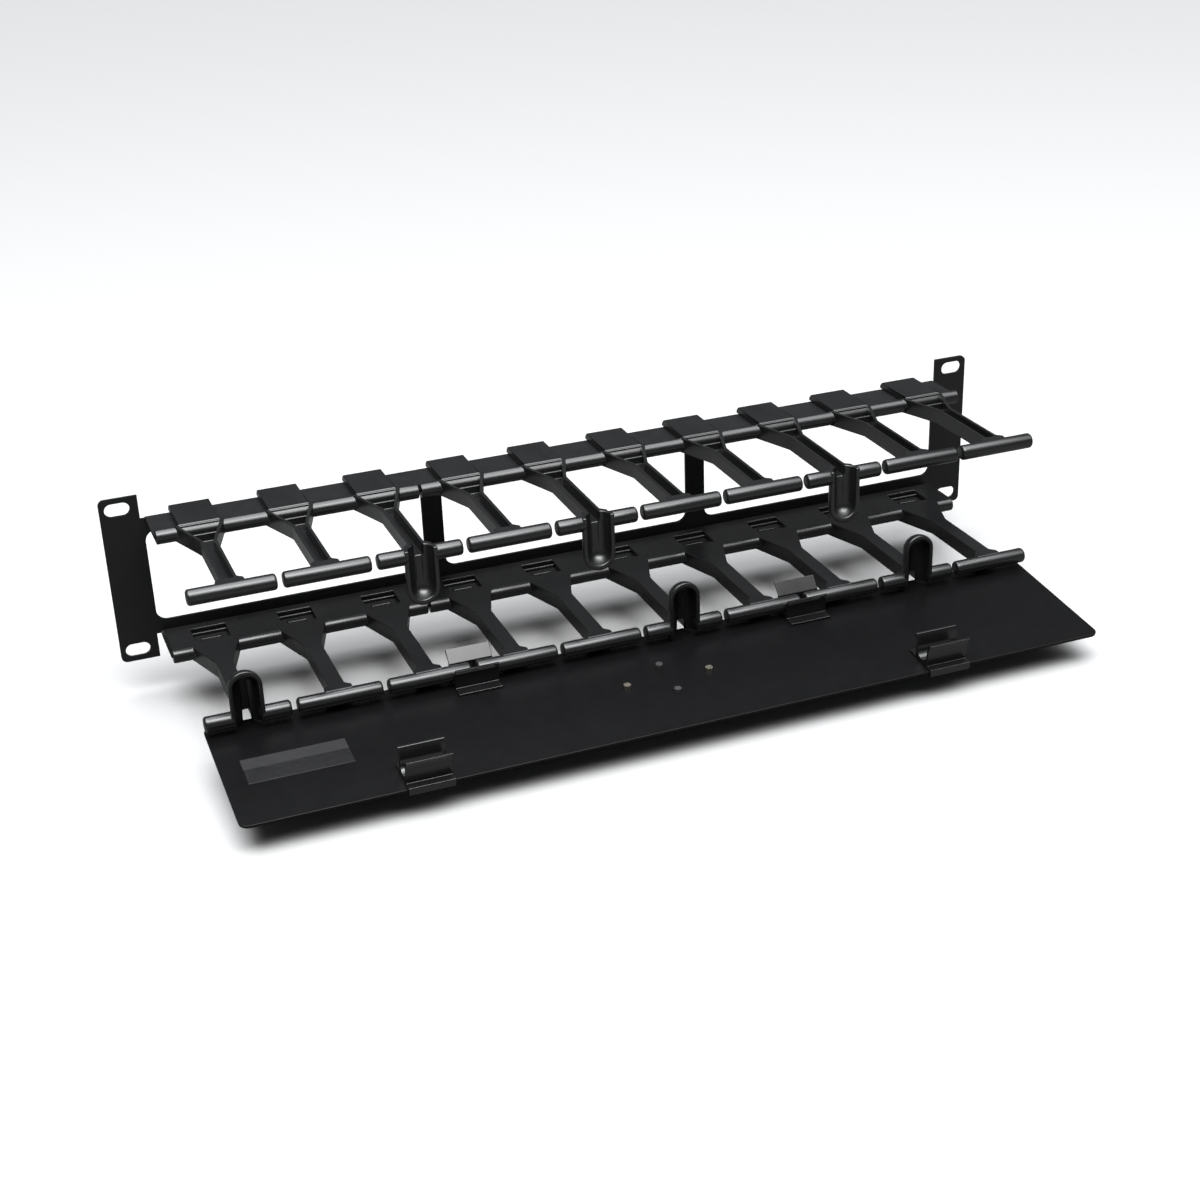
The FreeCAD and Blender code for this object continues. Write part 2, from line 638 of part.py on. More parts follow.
left = "-(short_fingers + long_fingers) / 2 * finger_pitch"
split = "(short_fingers - (short_fingers + long_fingers) / 2) * finger_pitch"
short_strip = finger_strip("upper_strip_short", "short_fingers", "short_scoop", None, left)
long_strip = finger_strip("upper_strip_long", "long_fingers", "long_scoop", "long_scoops", split)
nodes = [
    rack_bracket(),
    short_strip,
    long_strip,
    turned_over("lower_strip_short", short_strip),
    turned_over("lower_strip_long", long_strip),
    cover_panel(),
    blank_label(),
    clip("hinge_clip_left", "-hinge_step / 2 * finger_pitch", False),
    clip("hinge_clip_right", "hinge_step / 2 * finger_pitch", False),
    clip("latch_clip_left", "-latch_step / 2 * finger_pitch", True),
    clip("latch_clip_right", "latch_step / 2 * finger_pitch", True),
]
nodes += [cover_pin(*pin) for pin in PINS]
doc.recompute()

failed = [obj for obj in doc.Objects if "Invalid" in obj.State or "Error" in obj.State]
if failed:
    raise RuntimeError("; ".join("%s: %s" % (obj.Name, obj.getStatusString()) for obj in failed))
os.makedirs("parts", exist_ok=True)
for node in nodes:
    shape = Part.getShape(node)
    if shape.isNull() or not shape.isValid() or not shape.Solids:
        raise RuntimeError("%s has no valid solid" % node.Label)
    shape.exportStep("parts/%s.step" % node.Label)
    print("%-20s solids %d volume %.1f" % (node.Label, len(shape.Solids), shape.Volume))
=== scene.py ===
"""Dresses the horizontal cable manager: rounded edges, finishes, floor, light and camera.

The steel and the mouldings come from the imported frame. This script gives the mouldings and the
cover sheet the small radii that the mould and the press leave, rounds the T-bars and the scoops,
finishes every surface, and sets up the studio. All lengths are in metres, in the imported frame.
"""

import enum
import json
import logging
import math
from collections.abc import Callable
from dataclasses import dataclass, field
from functools import partial

import bmesh
import bpy
from mathutils import Matrix, Vector
from mathutils.bvhtree import BVHTree


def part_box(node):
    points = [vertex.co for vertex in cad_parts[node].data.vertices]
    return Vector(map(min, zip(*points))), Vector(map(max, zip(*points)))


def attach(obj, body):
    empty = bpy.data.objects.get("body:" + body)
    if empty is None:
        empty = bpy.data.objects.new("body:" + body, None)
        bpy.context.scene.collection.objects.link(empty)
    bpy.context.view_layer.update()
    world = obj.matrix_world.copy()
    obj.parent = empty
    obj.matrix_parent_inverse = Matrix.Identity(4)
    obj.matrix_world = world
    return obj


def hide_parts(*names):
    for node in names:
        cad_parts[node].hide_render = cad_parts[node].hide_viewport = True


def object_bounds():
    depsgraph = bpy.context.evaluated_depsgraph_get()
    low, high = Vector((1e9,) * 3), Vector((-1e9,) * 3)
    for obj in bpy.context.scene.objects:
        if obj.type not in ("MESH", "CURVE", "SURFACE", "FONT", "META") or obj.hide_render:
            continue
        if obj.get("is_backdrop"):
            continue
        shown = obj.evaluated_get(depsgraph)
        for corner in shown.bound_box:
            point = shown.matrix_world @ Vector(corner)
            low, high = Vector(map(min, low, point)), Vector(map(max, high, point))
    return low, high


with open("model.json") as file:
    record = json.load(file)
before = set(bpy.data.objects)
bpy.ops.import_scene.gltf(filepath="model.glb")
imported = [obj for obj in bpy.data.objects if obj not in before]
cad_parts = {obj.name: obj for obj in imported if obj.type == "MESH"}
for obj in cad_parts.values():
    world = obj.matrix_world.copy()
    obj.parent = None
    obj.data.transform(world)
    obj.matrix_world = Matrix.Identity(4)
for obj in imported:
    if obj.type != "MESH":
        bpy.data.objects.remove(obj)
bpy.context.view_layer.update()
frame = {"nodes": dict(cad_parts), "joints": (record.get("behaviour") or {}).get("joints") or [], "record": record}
LOG = logging.getLogger("cable_manager")
MM = 0.001
WELD = 0.01 * MM
FLAT = math.radians(1.0)
CONVEX_SLACK = FLAT / 10
SMOOTH_ANGLE = math.radians(50.0)


class Body(enum.Enum):
    """The rigid bodies of the cable manager that a piece can ride on."""

    MANAGER = "manager"
    COVER = "cover"


class Slot(enum.Enum):
    """The record's material slots that the added pieces take their finish from."""

    STRIP = "strip_plastic"
    CLIP = "clip_plastic"
    COVER = "cover_paint"


def linked(name: str, data: bpy.types.ID) -> bpy.types.Object:
    """Makes an object and puts it in the scene.

    Args:
        name: The object's name.
        data: Its mesh, light or camera.

    Returns:
        The object.
    """
    made = bpy.data.objects.new(name, data)
    bpy.context.collection.objects.link(made)
    return made


def math_node(tree: bpy.types.NodeTree, operation: str,
              *values: float | bpy.types.NodeSocket) -> bpy.types.NodeSocket:
    """Adds one sum to a node tree.

    Args:
        tree: The tree.
        operation: The sum's kind.
        values: The numbers or sockets that it takes.

    Returns:
        The sum's output.
    """
    node = tree.nodes.new("ShaderNodeMath")
    node.operation = operation
    for socket, value in zip(node.inputs, values):
        if isinstance(value, (int, float)):
            socket.default_value = value
        else:
            tree.links.new(value, socket)
    return node.outputs[0]


@dataclass(frozen=True)
class Pattern:
    """A noise pattern: features per metre, finer layers, and the scale along each axis."""

    scale: float
    detail: float = 2.0
    rough: float = 0.5
    stretch: tuple[float, float, float] = (1.0, 1.0, 1.0)


class NodeKit:
    """A short way to write one material's node tree."""

    def __init__(self, name: str) -> None:
        """Starts an empty material.

        Args:
            name: The finish's name in a maker's words.
        """
        self.material = bpy.data.materials.new(name)
        self.material.use_nodes = True
        self.tree = self.material.node_tree
        self.tree.nodes.clear()
        self.out = self.tree.nodes.new("ShaderNodeOutputMaterial")
        self.shader = self.tree.nodes.new("ShaderNodeBsdfPrincipled")
        self.tree.links.new(self.shader.outputs["BSDF"], self.out.inputs["Surface"])
        self.coordinates = self.tree.nodes.new("ShaderNodeTexCoord")

    def link(self, source: bpy.types.NodeSocket, target: bpy.types.NodeSocket) -> None:
        """Joins an output to an input."""
        self.tree.links.new(source, target)

    def noise(self, pattern: Pattern) -> bpy.types.NodeSocket:
        """A noise pattern in object space.

        Args:
            pattern: Its settings.

        Returns:
            The pattern's value output, about 0 to 1.
        """
        node = self.tree.nodes.new("ShaderNodeTexNoise")
        node.inputs["Scale"].default_value = pattern.scale
        node.inputs["Detail"].default_value = pattern.detail
        node.inputs["Roughness"].default_value = pattern.rough
        mapping = self.tree.nodes.new("ShaderNodeMapping")
        mapping.inputs["Scale"].default_value = pattern.stretch
        self.link(self.coordinates.outputs["Object"], mapping.inputs["Vector"])
        self.link(mapping.outputs["Vector"], node.inputs["Vector"])
        return node.outputs["Fac"]

    def ramp(self, value: bpy.types.NodeSocket, low: float, high: float,
             start: float = 0.3, end: float = 0.7) -> bpy.types.NodeSocket:
        """Spreads a pattern between two numbers.

        Args:
            value: The pattern.
            low: The number where the pattern is at start.
            high: The number where the pattern is at end.
            start: The pattern's lower mark.
            end: The pattern's upper mark.

        Returns:
            The mapped value output.
        """
        node = self.tree.nodes.new("ShaderNodeMapRange")
        node.inputs["From Min"].default_value = start
        node.inputs["From Max"].default_value = end
        node.inputs["To Min"].default_value = low
        node.inputs["To Max"].default_value = high
        self.link(value, node.inputs["Value"])
        return node.outputs["Result"]

    def blend(self, value: bpy.types.NodeSocket, one: tuple[float, float, float],
              two: tuple[float, float, float]) -> bpy.types.NodeSocket:
        """Mixes two colours by a pattern.

        Args:
            value: The pattern, 0 for the first colour and 1 for the second.
            one: The first colour.
            two: The second colour.

        Returns:
            The colour output.
        """
        node = self.tree.nodes.new("ShaderNodeMix")
        node.data_type = "RGBA"
        node.inputs["A"].default_value = (*one, 1.0)
        node.inputs["B"].default_value = (*two, 1.0)
        self.link(value, node.inputs["Factor"])
        return next(s for s in node.outputs if s.type == "RGBA")

    def bump(self, value: bpy.types.NodeSocket, height: float, strength: float,
             under: bpy.types.NodeSocket | None = None) -> bpy.types.NodeSocket:
        """A surface relief.

        Args:
            value: The relief pattern.
            height: How deep it is, in metres.
            strength: How much of it shows.
            under: The normal that it lies on.

        Returns:
            The normal output.
        """
        node = self.tree.nodes.new("ShaderNodeBump")
        node.inputs["Distance"].default_value = height
        node.inputs["Strength"].default_value = strength
        self.link(value, node.inputs["Height"])
        if under is not None:
            self.link(under, node.inputs["Normal"])
        return node.outputs["Normal"]


@dataclass(frozen=True)
class PowderCoat:
    """Satin powder coat on steel: fine orange peel and a slightly uneven sheen."""

    name: str
    colour: tuple[float, float, float]
    lighter: tuple[float, float, float]
    gloss: tuple[float, float]
    peel: float
    shine: float
    patch_pattern: Pattern = Pattern(9.0, 4.0, 0.55)
    sheen_pattern: Pattern = Pattern(160.0, 3.0)
    peel_pattern: Pattern = Pattern(1100.0, 2.0, 0.45)
    peel_height: float = 0.05 * MM

    def build(self) -> bpy.types.Material:
        """Makes the material.

        Returns:
            The material.
        """
        kit = NodeKit(self.name)
        patch = kit.noise(self.patch_pattern)
        kit.link(kit.blend(kit.ramp(patch, 0.0, 1.0), self.colour, self.lighter),
                 kit.shader.inputs["Base Color"])
        kit.link(kit.ramp(kit.noise(self.sheen_pattern), *self.gloss),
                 kit.shader.inputs["Roughness"])
        kit.link(kit.bump(kit.noise(self.peel_pattern), self.peel_height, self.peel),
                 kit.shader.inputs["Normal"])
        kit.shader.inputs["Specular IOR Level"].default_value = self.shine
        return kit.material


@dataclass(frozen=True)
class MouldedPlastic:
    """Black moulded plastic with faint flow marks and a fine spark-eroded grain."""

    name: str
    colour: tuple[float, float, float]
    lighter: tuple[float, float, float]
    gloss: tuple[float, float]
    grain: float
    grain_pattern: Pattern
    flow: float
    coat: float
    shine: float
    mark_pattern: Pattern = Pattern(24.0, 5.0, 0.6, (1.0, 0.35, 1.0))
    sheen_pattern: Pattern = Pattern(60.0, 4.0, 0.6, (1.0, 0.4, 1.0))
    flow_pattern: Pattern = Pattern(26.0, stretch=(1.0, 0.5, 1.0))
    flow_height: float = 0.4 * MM
    grain_height: float = 0.03 * MM
    coat_gloss: float = 0.12

    def build(self) -> bpy.types.Material:
        """Makes the material.

        Returns:
            The material.
        """
        kit = NodeKit(self.name)
        marks = kit.noise(self.mark_pattern)
        kit.link(kit.blend(kit.ramp(marks, 0.0, 1.0), self.colour, self.lighter),
                 kit.shader.inputs["Base Color"])
        kit.link(kit.ramp(kit.noise(self.sheen_pattern), *self.gloss),
                 kit.shader.inputs["Roughness"])
        flow = kit.noise(self.flow_pattern)
        normal = kit.bump(flow, self.flow_height, self.flow)
        grain = kit.noise(self.grain_pattern)
        normal = kit.bump(grain, self.grain_height, self.grain, normal)
        kit.link(normal, kit.shader.inputs["Normal"])
        kit.shader.inputs["Specular IOR Level"].default_value = self.shine
        kit.shader.inputs["Coat Weight"].default_value = self.coat
        kit.shader.inputs["Coat Roughness"].default_value = self.coat_gloss
        return kit.material


@dataclass(frozen=True)
class PinMetal:
    """Turned and coated metal, slightly uneven in tint and surface."""

    name: str
    colour: tuple[float, float, float]
    duller: tuple[float, float, float]
    metallic: float
    gloss: tuple[float, float]
    tint_pattern: Pattern = Pattern(900.0, 3.0)
    sheen_pattern: Pattern = Pattern(1500.0)
    grain_pattern: Pattern = Pattern(2200.0)
    grain_height: float = 0.02 * MM
    grain: float = 0.3

    def build(self) -> bpy.types.Material:
        """Makes the material.

        Returns:
            The material.
        """
        kit = NodeKit(self.name)
        tint = kit.ramp(kit.noise(self.tint_pattern), 0.0, 1.0)
        kit.link(kit.blend(tint, self.colour, self.duller), kit.shader.inputs["Base Color"])
        kit.link(kit.ramp(kit.noise(self.sheen_pattern), *self.gloss),
                 kit.shader.inputs["Roughness"])
        kit.shader.inputs["Metallic"].default_value = self.metallic
        kit.link(kit.bump(kit.noise(self.grain_pattern), self.grain_height, self.grain),
                 kit.shader.inputs["Normal"])
        return kit.material


@dataclass(frozen=True)
class LabelFilm:
    """A blank dark film with a paler band by the hinge and a thin pale front edge."""

    name: str
    colour: tuple[float, float, float]
    band: tuple[float, float, float]
    band_share: float = 0.42
    edge_share: float = 0.03
    band_blur: float = 0.2 * MM
    edge_blur: float = 0.1 * MM
    mottle: tuple[float, float] = (0.85, 1.0)
    mottle_pattern: Pattern = Pattern(70.0, 4.0)
    gloss: tuple[float, float] = (0.30, 0.38)
    sheen_pattern: Pattern = Pattern(400.0)
    grain_pattern: Pattern = Pattern(3000.0)
    grain_height: float = 0.01 * MM
    grain: float = 0.25
    shine: float = 0.4

    def build(self, low: Vector, high: Vector) -> bpy.types.Material:
        """Makes the material.

        Args:
            low: The label's lowest corner.
            high: The label's highest corner.

        Returns:
            The material.
        """
        kit = NodeKit(self.name)
        parts = kit.tree.nodes.new("ShaderNodeSeparateXYZ")
        kit.link(kit.coordinates.outputs["Object"], parts.inputs["Vector"])
        depth = high.y - low.y
        split = high.y - depth * self.band_share
        band = kit.ramp(parts.outputs["Y"], 0.0, 1.0, split, split + self.band_blur)
        line = low.y + depth * self.edge_share
        edge = kit.ramp(parts.outputs["Y"], 1.0, 0.0, line, line + self.edge_blur)
        both = math_node(kit.tree, "MAXIMUM", band, edge)
        mottle = kit.ramp(kit.noise(self.mottle_pattern), *self.mottle)
        paler = math_node(kit.tree, "MULTIPLY", both, mottle)
        kit.link(kit.blend(paler, self.colour, self.band), kit.shader.inputs["Base Color"])
        kit.link(kit.ramp(kit.noise(self.sheen_pattern), *self.gloss),
                 kit.shader.inputs["Roughness"])
        kit.link(kit.bump(kit.noise(self.grain_pattern), self.grain_height, self.grain),
                 kit.shader.inputs["Normal"])
        kit.shader.inputs["Specular IOR Level"].default_value = self.shine
        return kit.material


def place(name: str, mesh: bpy.types.Mesh, material: bpy.types.Material, body: Body) -> bpy.types.Object:
    """Makes an object of a mesh, finishes it and lets it ride.

    Args:
        name: The piece's name.
        mesh: Its mesh, already in place.
        material: Its finish.
        body: The body it moves with.

    Returns:
        The object.
    """
    mesh.materials.clear()
    mesh.materials.append(material)
    for face in mesh.polygons:
        face.material_index = 0
    piece = linked(name, mesh)
    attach(piece, body.value)
    return piece


def evaluated(piece: bpy.types.Object, name: str) -> bpy.types.Mesh:
    """The plain mesh that an object's modifiers give.

    Args:
        piece: The object, which is removed afterwards.
        name: The new mesh's name.

    Returns:
        The mesh.
    """
    graph = bpy.context.evaluated_depsgraph_get()
    mesh = bpy.data.meshes.new_from_object(piece.evaluated_get(graph))
    mesh.name = name
    piece.modifiers.clear()
    bpy.data.objects.remove(piece)
    return mesh


def merge_close(shell: bmesh.types.BMesh) -> None:
    """Merges points that lie together and drops the faces that this empties.

    Args:
        shell: The copy that is worked on.
    """
    bmesh.ops.remove_doubles(shell, verts=shell.verts, dist=WELD)
    bmesh.ops.dissolve_degenerate(shell, dist=WELD, edges=shell.edges)


def bevel(piece: bpy.types.Object, name: str, from_angle: float, width: float,
          steps: int) -> bpy.types.Modifier:
    """Puts a bevel on an object's sharper edges.

    Args:
        piece: The object.
        name: The modifier's name.
        from_angle: Edges flatter than this are left alone.
        width: The bevel's width.
        steps: How many faces it has across.

    Returns:
        The modifier.
    """
    modifier = piece.modifiers.new(name, "BEVEL")
    modifier.limit_method, modifier.angle_limit = "ANGLE", from_angle
    modifier.width, modifier.segments = width, steps
    modifier.use_clamp_overlap = False
    return modifier


def join_flat(shell: bmesh.types.BMesh) -> None:
    """Joins level triangles into larger faces that stay convex.

    Args:
        shell: The merged copy.
    """
    for edge in list(shell.edges):
        if not edge.is_valid or len(edge.link_faces) != 2 or edge.calc_face_angle(math.pi) > FLAT:
            continue
        pair = list(edge.link_faces)
        loops = [loop for face in pair for loop in face.loops]
        corners = [sum(loop.calc_angle() for loop in loops if loop.vert == vert)
                   for vert in edge.verts]
        if max(corners) <= math.pi + CONVEX_SLACK:
            bmesh.utils.face_join(pair)


def fold_strays(soft: bpy.types.Mesh, shell: bpy.types.Mesh, reach: float) -> None:
    """Folds away the points that a bevel threw off the shell.

    Args:
        soft: The rounded mesh, changed in place.
        shell: The mesh before its edges were rounded.
        reach: How far a rounded point may stand from the shell.
    """
    tree = BVHTree.FromPolygons([vert.co for vert in shell.vertices],
                                [tuple(face.vertices) for face in shell.polygons])
    work = bmesh.new()
    work.from_mesh(soft)
    strays = [vert for vert in work.verts if tree.find_nearest(vert.co)[3] > reach]
    targets = {}
    for vert in strays:
        near = [edge.other_vert(vert) for edge in vert.link_edges]
        near = [other for other in near if other not in strays]
        if near:
            targets[vert] = min(near, key=lambda other, at=vert.co: (other.co - at).length)
    bmesh.ops.weld_verts(work, targetmap=targets)
    LOG.info("%s: %d stray points, %d folded away", soft.name, len(strays), len(targets))
    work.to_mesh(soft)
    work.free()


@dataclass(frozen=True)
class EdgeBreak:
    """The small radius that a mould, a press or a coat of powder leaves on every edge."""

    radius: float
    steps: int = 2
    from_angle: float = math.radians(28.0)

    def soften(self, node: str, reshape: Callable[[bmesh.types.BMesh], None] | None = None
               ) -> bpy.types.Mesh:
        """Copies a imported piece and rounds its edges.

        Args:
            node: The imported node.
            reshape: Moves points of the merged copy.

        Returns:
            The rounded mesh.
        """
        shell = bmesh.new()
        shell.from_mesh(frame["nodes"][node].data)
        merge_close(shell)
        join_flat(shell)
        if reshape:
            reshape(shell)
        mesh = bpy.data.meshes.new(node + "_soft")
        shell.to_mesh(mesh)
        shell.free()
        if "custom_normal" in mesh.attributes:
            mesh.attributes.remove(mesh.attributes["custom_normal"])
        piece = linked(node + "_soft", mesh)
        edge_break = bevel(piece, "edge_break", self.from_angle, self.radius, self.steps)
        edge_break.miter_outer = "MITER_ARC"
        soft = evaluated(piece, node + "_soft")
        fold_strays(soft, mesh, self.radius)
        soft.shade_smooth()
        soft.set_sharp_from_angle(angle=SMOOTH_ANGLE)
        piece = linked(node + "_soft", soft)
        weigh = piece.modifiers.new("weigh", "WEIGHTED_NORMAL")
        weigh.keep_sharp = True
        return evaluated(piece, node + "_soft")


def dress(node: str, material: bpy.types.Material) -> None:
    """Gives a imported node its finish.

    Args:
        node: The node's name.
        material: The finish.
    """
    piece = frame["nodes"][node]
    piece.data.materials.clear()
    piece.data.materials.append(material)


@dataclass
class RackBracket:
    """The folded steel bracket with its ears and flanges."""

    node: str = "rack_bracket"
    coat: PowderCoat = PowderCoat(
        "bracket_powder_coat", colour=(0.0050, 0.0051, 0.0055),
        lighter=(0.0064, 0.0065, 0.0070), gloss=(0.38, 0.46), peel=0.12, shine=0.36)

    def build(self) -> None:
        """Coats the bracket."""
        dress(self.node, self.coat.build())
        LOG.info("bracket coated")


@dataclass(frozen=True)
class Strip:
    """One moulded strip: its node, its fingers and which of them carry a scoop."""

    node: str
    fingers: int
    scoops: tuple[int, ...]

    def centres(self, pitch: float) -> list[float]:
        """Where its fingers stand along X, from its box.

        Args:
            pitch: The distance between two fingers.

        Returns:
            The fingers' middles, from left to right.
        """
        low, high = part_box(self.node)
        middle = (low.x + high.x) / 2
        return [middle + (i - (self.fingers - 1) / 2) * pitch for i in range(self.fingers)]

    def side(self) -> float:
        """Which row it is in: 1 for the upper one and -1 for the lower one."""
        return math.copysign(1.0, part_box(self.node)[0].z)


@dataclass
class BarTree:
    """Geometry Nodes that put a round bar with rounded ends on every point."""

    sides: int = 28
    steps: int = 5

    def profile(self, tree: bpy.types.NodeTree, given: bpy.types.Node
                ) -> tuple[bpy.types.NodeSocket, bpy.types.NodeSocket]:
        """Where each ring of a bar lies and how wide it is, with a quarter round at each end.

        Args:
            tree: The tree.
            given: The node that holds the tree's inputs.

        Returns:
            The ring's place along the bar, and its radius.
        """
        sums = partial(math_node, tree)
        middle = self.steps + 0.5
        index = tree.nodes.new("GeometryNodeInputIndex").outputs["Index"]
        offset = sums("SUBTRACT", index, middle)
        inner = sums("SUBTRACT", middle, sums("ABSOLUTE", offset))
        angle = sums("MULTIPLY", inner, math.pi / 2 / self.steps)
        end_round = given.outputs["End Round"]
        drop = sums("MULTIPLY", end_round, sums("SUBTRACT", 1.0, sums("COSINE", angle)))
        narrow = sums("MULTIPLY", end_round, sums("SUBTRACT", 1.0, sums("SINE", angle)))
        half = sums("MULTIPLY", given.outputs["Length"], 0.5)
        along = sums("MULTIPLY", sums("SIGN", offset), sums("SUBTRACT", half, drop))
        return along, sums("SUBTRACT", given.outputs["Radius"], narrow)

    def build(self, material: bpy.types.Material) -> bpy.types.NodeTree:
        """Makes the tree.

        Args:
            material: The bars' finish.

        Returns:
            The node tree, with Length, Radius and End Round as inputs.
        """
        tree = bpy.data.node_groups.new("t_bar_row", "GeometryNodeTree")
        tree.interface.new_socket("Points", in_out="INPUT", socket_type="NodeSocketGeometry")
        for name in ("Length", "Radius", "End Round"):
            tree.interface.new_socket(name, in_out="INPUT", socket_type="NodeSocketFloat")
        tree.interface.new_socket("Bars", in_out="OUTPUT", socket_type="NodeSocketGeometry")
        given = tree.nodes.new("NodeGroupInput")
        result = tree.nodes.new("NodeGroupOutput")
        along, across = self.profile(tree, given)
        line = tree.nodes.new("GeometryNodeCurvePrimitiveLine")
        line.inputs["Start"].default_value = (-1.0, 0.0, 0.0)
        line.inputs["End"].default_value = (1.0, 0.0, 0.0)
        points = tree.nodes.new("GeometryNodeResampleCurve")
        points.inputs["Count"].default_value = 2 * self.steps + 2
        tree.links.new(line.outputs["Curve"], points.inputs["Curve"])
        spot = tree.nodes.new("ShaderNodeCombineXYZ")
        tree.links.new(along, spot.inputs["X"])
        put = tree.nodes.new("GeometryNodeSetPosition")
        tree.links.new(points.outputs["Curve"], put.inputs["Geometry"])
        tree.links.new(spot.outputs["Vector"], put.inputs["Position"])
        ring = tree.nodes.new("GeometryNodeCurvePrimitiveCircle")
        ring.inputs["Resolution"].default_value = self.sides
        ring.inputs["Radius"].default_value = 1.0
        skin = tree.nodes.new("GeometryNodeCurveToMesh")
        tree.links.new(put.outputs["Geometry"], skin.inputs["Curve"])
        tree.links.new(ring.outputs["Curve"], skin.inputs["Profile Curve"])
        tree.links.new(across, skin.inputs["Scale"])
        skin.inputs["Fill Caps"].default_value = True
        every = tree.nodes.new("GeometryNodeInstanceOnPoints")
        tree.links.new(given.outputs["Points"], every.inputs["Points"])
        tree.links.new(skin.outputs["Mesh"], every.inputs["Instance"])
        real = tree.nodes.new("GeometryNodeRealizeInstances")
        tree.links.new(every.outputs["Instances"], real.inputs["Geometry"])
        finish = tree.nodes.new("GeometryNodeSetMaterial")
        finish.inputs["Material"].default_value = material
        tree.links.new(real.outputs["Geometry"], finish.inputs["Geometry"])
        tree.links.new(finish.outputs["Geometry"], result.inputs["Bars"])
        return tree

    def row(self, name: str, tree: bpy.types.NodeTree, spots: list[Vector],
            sizes: dict[str, float]) -> bpy.types.Mesh:
        """Bars on a list of places.

        Args:
            name: The mesh's name.
            tree: The node tree.
            spots: The bars' middles.
            sizes: The tree's named inputs.

        Returns:
            The plain mesh.
        """
        dots = bpy.data.meshes.new(name)
        dots.from_pydata(spots, [], [])
        piece = linked(name, dots)
        modifier = piece.modifiers.new("bars", "NODES")
        modifier.node_group = tree
        for item in tree.interface.items_tree:
            if item.item_type == "SOCKET" and item.in_out == "INPUT" and item.name in sizes:
                modifier[item.identifier] = sizes[item.name]
        mesh = evaluated(piece, name)
        face_out(mesh)
        return mesh


def face_out(mesh: bpy.types.Mesh) -> None:
    """Turns a closed mesh's faces outward and smooths it.

    Args:
        mesh: The mesh.
    """
    shell = bmesh.new()
    shell.from_mesh(mesh)
    merge_close(shell)
    bmesh.ops.recalc_face_normals(shell, faces=shell.faces)
    shell.to_mesh(mesh)
    shell.free()
    mesh.shade_smooth()
    mesh.set_sharp_from_angle(angle=SMOOTH_ANGLE)


@dataclass
class Scoop:
    """A spoon-shaped guide that hangs from a T-bar, open to the front."""

    outer: float = 8.05 * MM
    inner: float = 5.95 * MM
    inner_drop: float = 5.3 * MM
    lead: float = 3.5 * MM
    straight: float = 1.1 * MM
    reach: float = 23.5 * MM
    turn: float = math.radians(30.0)
    notch_half: float = 2.3 * MM
    notch_drop: float = 5.6 * MM
    notch_step: float = 0.01
    notch_clear: float = 0.05
    top_lift: float = 0.08 * MM
    skin: float = 0.05 * MM
    set_back: float = 0.1 * MM
    rim_round: float = 0.62 * MM
    rim_from: float = math.radians(40.0)
    rim_steps: int = 3
    columns: int = 18
    rows: int = 7

    def middle(self, bar_y: float) -> float:
        """Where the middle of its round back lies along Y, for bars at bar_y."""
        return bar_y - self.lead + self.straight - self.set_back

    def ball(self, bar_height: float) -> float:
        """How high the middle of its rounded end lies, for bars at bar_height."""
        return bar_height - self.reach + (self.outer - self.skin) * math.cos(self.turn)

    def outline(self, across: float) -> list[tuple[float, float]]:
        """Its plan at one height: the front edge, round the back and to the front again.

        Args:
            across: The plan's radius.

        Returns:
            Points from left to right, measured from the middle.
        """
        notch = math.asin(min(1.0, self.notch_half / self.outer))
        turns = [math.pi * (1 - i / self.columns) for i in range(self.columns + 1)]
        for edge in (math.pi / 2 + notch, math.pi / 2 - notch):
            turns = [turn for turn in turns if abs(turn - edge) > self.notch_clear]
            turns += [edge + self.notch_step, edge - self.notch_step]
        turns = sorted(set(turns), reverse=True)
        arc = [(across * math.cos(turn), across * math.sin(turn)) for turn in turns]
        front = -self.straight + self.set_back
        return [(-across, front), *arc, (across, front)]

    def shell(self, bar_height: float, bar_radius: float) -> bmesh.types.BMesh:
        """Builds one scoop about its own middle.

        Args:
            bar_height: The bars' height over the middle plane.
            bar_radius: The bars' radius.

        Returns:
            The closed shell.
        """
        made = bmesh.new()
        ball = self.ball(bar_height)
        top = bar_height + bar_radius + self.top_lift
        notch = top - self.notch_drop
        in_notch = [abs(x) < self.notch_half and y > 0 for x, y in self.outline(self.outer)]
        grids = []
        for radius, drop in ((self.outer, self.outer), (self.inner, self.inner_drop)):
            plan = self.outline(radius)
            grid = [[made.verts.new((x, y, notch if low else height))
                     for (x, y), low in zip(plan, in_notch)] for height in (top, notch)]
            for step in range(self.rows + 1):
                lean = math.pi / 2 * step / self.rows
                grid.append([made.verts.new((x, y, ball - drop * math.sin(lean)))
                             for x, y in self.outline(radius * math.cos(lean))])
            grids.append(grid)
        outer, inner = grids
        last = len(outer[0]) - 1
        for i in range(len(outer) - 1):
            for j in range(last):
                for grid in grids:
                    made.faces.new((grid[i][j], grid[i][j + 1],
                                    grid[i + 1][j + 1], grid[i + 1][j]))
            for j in (0, last):
                made.faces.new((outer[i][j], inner[i][j], inner[i + 1][j], outer[i + 1][j]))
        for j in range(last):
            made.faces.new((outer[0][j], outer[0][j + 1], inner[0][j + 1], inner[0][j]))
        merge_close(made)
        bmesh.ops.recalc_face_normals(made, faces=made.faces)
        return made


